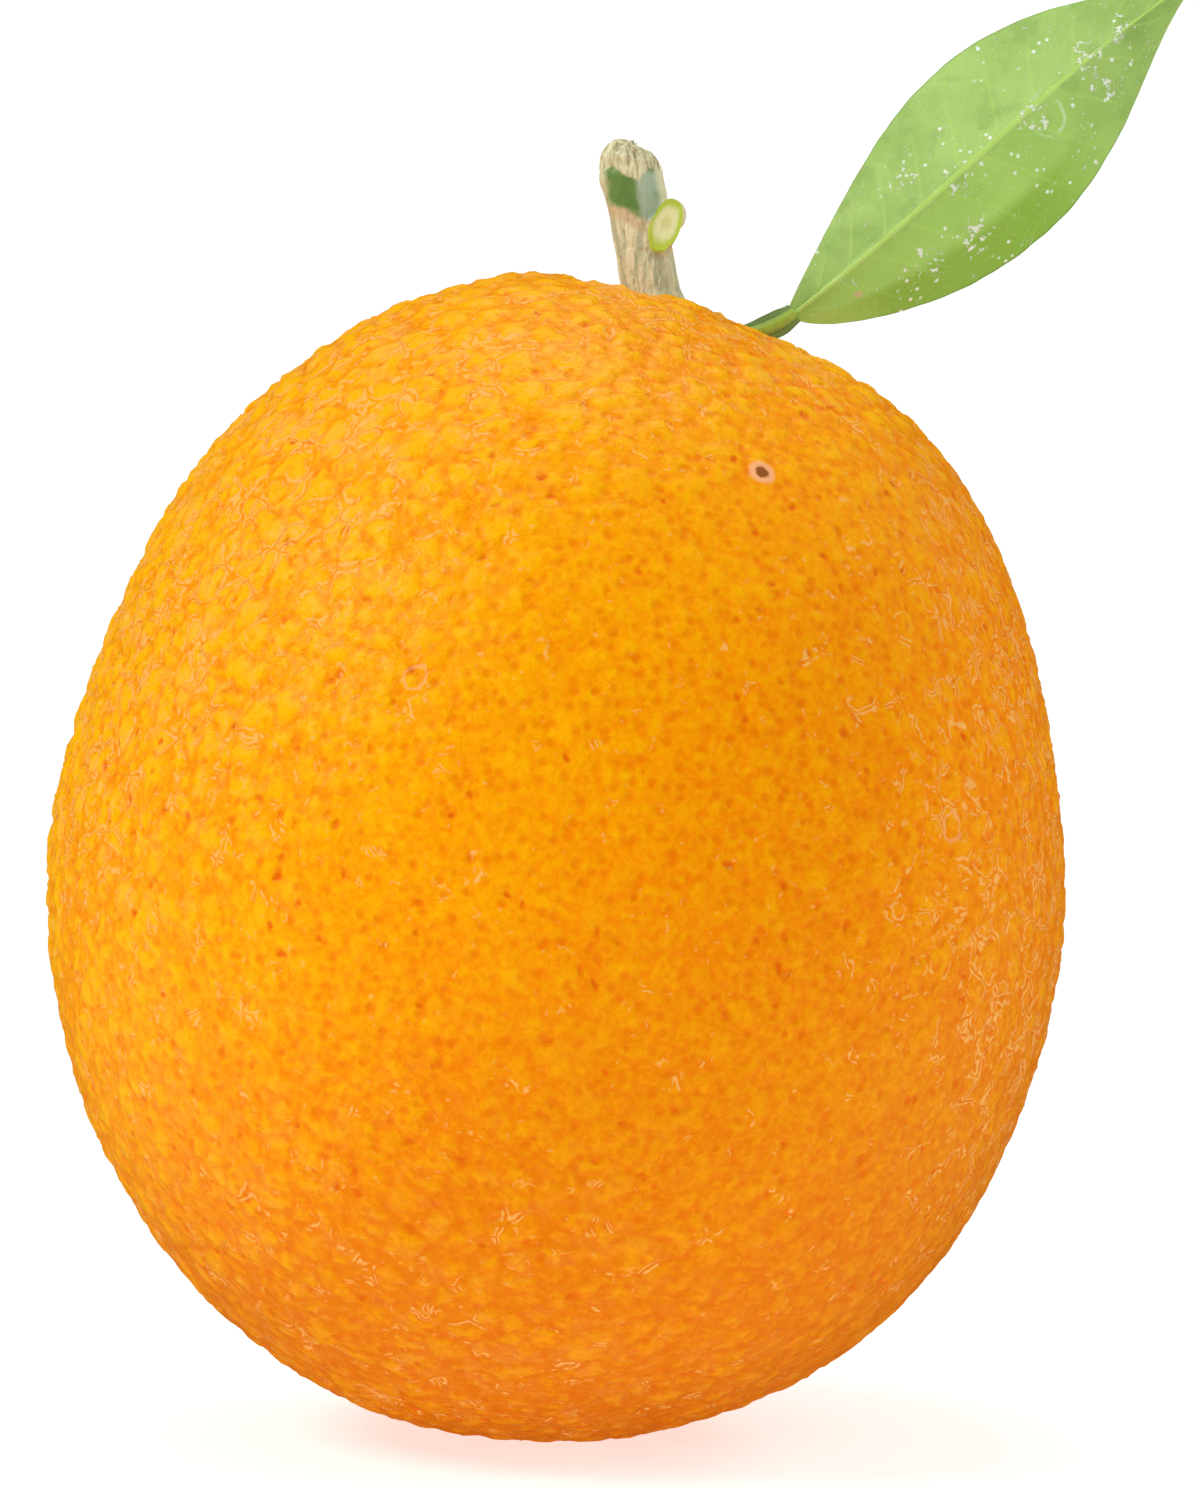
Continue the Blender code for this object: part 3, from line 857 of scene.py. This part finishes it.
# %% Petiole
PETIOLE_LINE = ((9.4, 0.7, 87.3), (12.8, 1.8, 86.6), (16.0, 3.0, 86.6), (19.0, 3.4, 88.95))
PETIOLE_RIB = 0.42                       # part of the half width taken up by the rib
PETIOLE_THICKNESS = 0.42 * MM


def petiole_shape(u, v):
    foot = 1.0 - smoothstep(0.0, 0.25, u)
    half_width = (0.56 + 0.46 * smoothstep(0.45, 0.80, u) - 0.26 * smoothstep(0.86, 1.0, u)) * MM
    rib = math.sqrt(max(0.0, 1.0 - (v / PETIOLE_RIB) ** 2)) if abs(v) < PETIOLE_RIB else 0.0
    backward = 0.34 * abs(v) - (0.42 + 0.3 * foot) * rib
    return v * half_width, backward * MM


bm = strip(PETIOLE_LINE, 60, 32, petiole_shape)
petiole = new_piece("petiole_stalk", bm)
thicken(petiole, PETIOLE_THICKNESS)

stalk_skin, shader, place = new_material("petiole_skin", {"Specular IOR Level": 0.35})
along, across = strip_coordinates(place)
rib = across.absolute().smooth(0.50, 0.10)
color = rib.mix(linear(130, 164, 88), linear(172, 204, 74))
color = ((place.noise(1400.0, 2.0) - 0.5).absolute() * 0.8).mix(color, linear(92, 124, 60))
color = (across.absolute().smooth(0.80, 1.0) * 0.5).mix(color, linear(100, 128, 76))
link(color, shader, "Base Color")
link(0.46 + 0.2 * place.noise(1200.0, 2.0), shader, "Roughness")
link_bump((place.noise(2200.0, 2.0) - 0.5) * 0.06 * MM, shader)
petiole.data.materials.append(stalk_skin)
finish_piece(petiole, "petiole")

# %% [markdown]
# ## The leaf blade
#
# The leaf shows its paler underside. Each half leans back from the midrib, and the lower one has a
# second crease near its edge. The midrib stands out as a rib that thins towards the tip, with finer
# veins to both sides, and the margin is a little wavy. All of that is real shape, because a light
# grazing the leaf finds it.

# %% Leaf outline and folds
BLADE_LINE = ((18.95, 3.5, 88.85), (29.45, 3.0, 96.6), (41.45, 4.5, 110.0), (52.3, 6.0, 117.0))
BLADE_UPPER = (8.20 * MM, 1.04, 0.90, 0.70)   # width, then the outline's three shape numbers
BLADE_LOWER = (8.35 * MM, 0.93, 0.88, 0.65)
BLADE_END_WIDTH = 0.65 * MM
BLADE_THICKNESS = 0.26 * MM
MIDRIB_HEIGHT = 0.34                     # mm, at the foot
SIDE_VEIN_HEIGHT = 0.05
UPPER_FOLD = 0.42
LOWER_FOLD = 0.28
CREASE = 0.56
CREASE_BEND = 0.85
SIDE_VEINS = 11.0                        # pairs along the blade
VEIN_SLANT = 0.11                        # how far a vein runs forward on its way to the edge


def blade_outline(u, half):
    width, peak, base_power, tip_power = half
    lens = max(math.sin(math.pi * u ** peak), 0.0) ** (base_power + tip_power * u)
    end_width = BLADE_END_WIDTH * (1.0 - 0.5 * u)
    return end_width + (width - end_width) * lens


def vein_height(u, v):
    """Relief of midrib and side veins, in mm towards the viewer."""
    rib = MIDRIB_HEIGHT * (1.0 - 0.75 * u) * math.exp(-(v / (0.055 + 0.03 * u)) ** 2)
    phase = (u - VEIN_SLANT * abs(v)) * SIDE_VEINS + (0.5 if v > 0.0 else 0.0)
    away = abs(phase - round(phase))
    side = SIDE_VEIN_HEIGHT * math.exp(-(away / 0.09) ** 2) * (1.0 - smoothstep(0.6, 0.95, abs(v)))
    return (rib + side) * (1.0 - smoothstep(0.90, 1.0, u))


def blade_shape(u, v):
    upper = v > 0.0
    fold = UPPER_FOLD if upper else LOWER_FOLD
    reach = abs(v) * blade_outline(u, BLADE_UPPER if upper else BLADE_LOWER)
    soft_reach = math.sqrt(reach * reach + (0.5 * MM) ** 2) - 0.5 * MM
    backward = fold * soft_reach
    if not upper:
        past = max(abs(v) - CREASE, 0.0)
        past = past * past / (past + 0.08) * BLADE_LOWER[0]
        backward += CREASE_BEND * past * math.sin(math.pi * u ** 0.65) ** 2
    ripple = 0.30 * MM * noise.noise(Vector((u * 7.0, 2.0 * v, 1.7))) * abs(v)
    ripple *= math.sin(math.pi * u)
    backward += ripple - vein_height(u, v) * MM
    notch = 1.0 - 0.012 * noise.noise(Vector((u * 26.0, 3.0 * (v > 0.0), 0.3))) * abs(v)
    sideways = reach * notch / math.hypot(1.0, fold)
    return math.copysign(sideways, v), backward


bm = strip(BLADE_LINE, 200, 90, blade_shape)
blade = new_piece("leaf_underside", bm)
thicken(blade, BLADE_THICKNESS)
print("leaf blade faces:", len(blade.data.polygons))

# %% [markdown]
# ## The leaf's material
#
# A young citrus leaf is a soft yellow-green below. Its veins are paler. The creased strip is painted a
# richer, darker green, which stands for painted shade in the crease and painted light shining through
# it, and the half above the strip is painted lighter, as painted light that it catches. The leaf
# passes a little light, which the subsurface setting stands for.

# %% Leaf colours and veins
LEAF_GREEN = linear(160, 196, 102)
LEAF_LIGHT = linear(176, 210, 116)
LEAF_LIT = linear(178, 222, 106)
LEAF_PAINTED_CREASE_GREEN = linear(138, 182, 58)
LEAF_DULL = linear(138, 172, 84)
LEAF_VEIN = linear(190, 226, 116)
LEAF_DUST = linear(248, 252, 242)

leaf_skin, shader, place = new_material("leaf_skin", {
    "Specular IOR Level": 0.3,
    "Subsurface Weight": 0.2,
    "Subsurface Radius": (0.5, 1.0, 0.2),
    "Subsurface Scale": 0.5 * MM,
})
along, across = strip_coordinates(place)
mottle = place.noise(160.0, 3.0)
color = mottle.smooth(0.36, 0.64).mix(LEAF_GREEN, LEAF_LIGHT)
color = (place.noise(420.0, 3.0).smooth(0.50, 0.68) * 0.45).mix(color, LEAF_DULL)
# painted shade and painted transmitted light: a richer, darker green along the lower crease
crease_painted_shade = across.smooth(-CREASE + 0.04, -CREASE - 0.10) * along.smooth(0.03, 0.20)
crease_painted_shade = crease_painted_shade * along.smooth(0.72, 0.46)
# painted light: the lower half is painted lighter, as light that it catches
low_half = across.smooth(0.0, -0.10) * along.smooth(0.85, 0.45)
color = (low_half * 0.60).mix(color, LEAF_LIT)
color = (crease_painted_shade * 0.90).mix(color, LEAF_PAINTED_CREASE_GREEN)
color = (along.smooth(0.45, 0.90) * 0.30).mix(color, LEAF_DULL)
is_upper = across.smooth(-0.001, 0.001)
phase = (along - across.absolute() * VEIN_SLANT) * SIDE_VEINS + is_upper * 0.5
phase = phase + (place.noise(300.0, 2.0) - 0.5) * 0.25
away = (phase - phase.maths("ROUND", phase)).absolute()
side_veins = away.smooth(0.075, 0.0) * across.absolute().smooth(0.9, 0.5)
color = (side_veins * 0.28).mix(color, LEAF_VEIN)
mesh_veins = place.warp(700.0, 0.0004).cells(1400.0, feature="DISTANCE_TO_EDGE").smooth(0.10, 0.0)
color = (mesh_veins * 0.10).mix(color, LEAF_VEIN)
midrib = (across.absolute() * (1.0 + 0.5 * along)).smooth(0.045, 0.018)
color = (midrib * 0.85).mix(color, LEAF_VEIN)
rim = across.absolute().smooth(0.975, 0.995)
color = (rim * 0.6).mix(color, linear(110, 140, 70))

# %% [markdown]
# ### What the weather left
#
# Rain carries dust and dries in splashes, so the white crust lies in clusters with fine specks
# between them. One drop has dried to a faint ring, and near the foot a bruise has turned tan. The
# clusters have places of their own, and noise breaks each one up into crumbs.

# %% Splashes, dust, a dried drop and a bruise
DROP_PLACE = (0.595, -0.20)              # along and across
BRUISE_PLACE = (0.125, -0.48)
SPLASHES = ((28.0, 100.1), (44.3, 107.6), (45.6, 112.4), (29.9, 93.3), (38.3, 104.8), (32.3, 99.6),
            (43.1, 110.4), (33.6, 95.4))     # x and z in mm
SPLASH_RADIUS = 2.3 * MM
flat_place = place.vector("MULTIPLY", (1.0, 0.0, 1.0))
near = None
for x, z in SPLASHES:
    spot = flat_place.distance((x * MM, 0.0, z * MM)).smooth(SPLASH_RADIUS, 0.3 * SPLASH_RADIUS)
    near = spot if near is None else near.largest(spot)
dust_clumps = place.noise(230.0, 3.0).smooth(0.50, 0.60)
specks = place.cells(1050.0).smooth(0.24, 0.12) * dust_clumps
crust = place.warp(500.0, 0.0006).noise(1500.0, 4.0, 0.7)
splashes = (crust + 0.11 * near).smooth(0.66, 0.69)
fine_dust = place.cells(3000.0).smooth(0.26, 0.10) * place.noise(600.0, 2.0).smooth(0.50, 0.62)
dust = specks.largest(splashes * 0.9).largest(fine_dust * 0.6)
color = (dust * 0.85).mix(color, LEAF_DUST)
drop_along = (along - DROP_PLACE[0]) * 46.0
drop_across = (across - DROP_PLACE[1]) * 8.0
drop = (drop_along * drop_along + drop_across * drop_across) ** 0.5
drop = (drop + (place.noise(700.0, 3.0) - 0.5) * 1.1 - 1.5).absolute().smooth(0.20, 0.03)
color = (drop * place.noise(700.0, 2.0).smooth(0.40, 0.6) * 0.35).mix(color, LEAF_DUST)
bruise_along = (along - BRUISE_PLACE[0]) * 46.0
bruise_across = (across - BRUISE_PLACE[1]) * 5.0
bruise = (bruise_along * bruise_along + bruise_across * bruise_across) ** 0.5
bruise = bruise + (place.noise(1500.0, 2.0) - 0.5) * 0.7
color = bruise.smooth(0.40, 0.20).mix(color, linear(206, 196, 140))
link(color, shader, "Base Color")
link(0.52 + 0.16 * mottle + 0.15 * dust, shader, "Roughness")
leaf_bump = 0.05 * (place.noise(1300.0, 2.0) - 0.5) + 0.012 * mesh_veins + 0.05 * dust
link_bump(leaf_bump * MM, shader)
blade.data.materials.append(leaf_skin)
finish_piece(blade, "leaf_blade")

# %% [markdown]
# ## A pale table and soft light
#
# The orange stands on a plain white table that fades out into the white surround. The surround gives
# even light, and four soft boxes shape the form: a key from the upper left, one overhead, a broad
# fill from the right and one behind on the right. Only the first two are mirrored in the wax. A fruit
# in a white room would otherwise look milky, since peel mirrors whatever stands round it.

# %% Table
TABLE_SIZE = 3.0                         # half of its edge, in metres
TABLE_FADE = (0.52, 0.26)                # metres from the middle: gone, and still whole
bm = bmesh.new()
bmesh.ops.create_grid(bm, x_segments=1, y_segments=1, size=TABLE_SIZE)
table_top, shader, place = new_material("table_white", {
    "Specular IOR Level": 0.0,
    "Emission Color": (1.0, 1.0, 1.0, 1.0),
    "Emission Strength": 0.62,
})
link(place.noise(3.0, 2.0).mix((0.60, 0.60, 0.60, 1.0), (0.63, 0.63, 0.63, 1.0)), shader, "Base Color")
link(0.75 + 0.1 * place.noise(40.0, 2.0), shader, "Roughness")
link(place.vector("LENGTH", output=1).smooth(*TABLE_FADE), shader, "Alpha")
table = new_piece("table_top", bm, table_top)
table.visible_glossy = False
table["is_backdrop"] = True

# %% Surround
world = bpy.data.worlds.new("white_surround")
bpy.context.scene.world = world
world.use_nodes = True
world.node_tree.nodes.clear()
seen = Wire.node(world.node_tree, "ShaderNodeLightPath", {}, {}, "Is Camera Ray")
strength = 0.48 + 0.60 * seen            # looks white, and lights the fruit with less
world.cycles_visibility.glossy = False
air = Wire.node(world.node_tree, "ShaderNodeBackground", {},
                {"Color": (1.0, 1.0, 1.0, 1.0), "Strength": strength})
world_output = world.node_tree.nodes.new("ShaderNodeOutputWorld")
world.node_tree.links.new(air.socket, world_output.inputs["Surface"])
bpy.context.scene.view_settings.view_transform = "Standard"


# %% Soft boxes
def soft_box(name, place, size, power, mirrored=True):
    """A square area light aimed at the middle of the fruit; not every one shows in the gloss."""
    light = bpy.data.lights.new(name, "AREA")
    light.shape = "SQUARE"
    light.size = size
    light.energy = power
    lamp = bpy.data.objects.new(name, light)
    lamp.location = place
    lamp.visible_glossy = mirrored
    lamp.rotation_mode = "QUATERNION"
    lamp.rotation_quaternion = (FRUIT_CENTRE - Vector(place)).to_track_quat("-Z", "Y")
    bpy.context.scene.collection.objects.link(lamp)


soft_box("key_upper_left", (-0.42, -0.22, 0.46), 0.20, 1.95)
soft_box("overhead", (0.02, 0.10, 0.62), 0.20, 0.60)
soft_box("fill_right", (0.42, -0.18, 0.42), 0.36, 0.62, mirrored=False)
soft_box("rim_right_back", (0.44, 0.26, 0.34), 0.16, 0.60, mirrored=False)

# %% [markdown]
# ## The camera
#
# The fruit is seen level, straight from the front, through a portrait lens, so its sides don't bulge.
# Aiming a little above the fruit's middle and to its right sets it low and left in the picture, with
# the leaf running out at the top corner.

# %% Camera
LENS = 85.0
VIEW_DISTANCE = 0.280
AIM_OFFSET = Vector((3.08, 0.0, 8.85)) * MM

camera_data = bpy.data.cameras.new("camera")
camera_data.lens = LENS
camera_data.sensor_width = 36.0
camera = bpy.data.objects.new("camera", camera_data)
camera.location = FRUIT_CENTRE - BACK * VIEW_DISTANCE
camera.rotation_mode = "QUATERNION"
camera.rotation_quaternion = (FRUIT_CENTRE + AIM_OFFSET - camera.location).to_track_quat("-Z", "Y")
camera_data.clip_start = 0.01
bpy.context.scene.collection.objects.link(camera)
bpy.context.scene.camera = camera

# %% [markdown]
# ## Did anything grow?
#
# The visual model has to stay within the solid model's box. Both boxes are kept and printed,
# side by side.

# %% Print both boxes
boxes = {
    "cad": [list(corner) for corner in cad_box],
    "visual": [list(corner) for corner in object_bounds()],
}
for name, box in boxes.items():
    print(name, [[round(value / MM, 2) for value in corner] for corner in box])
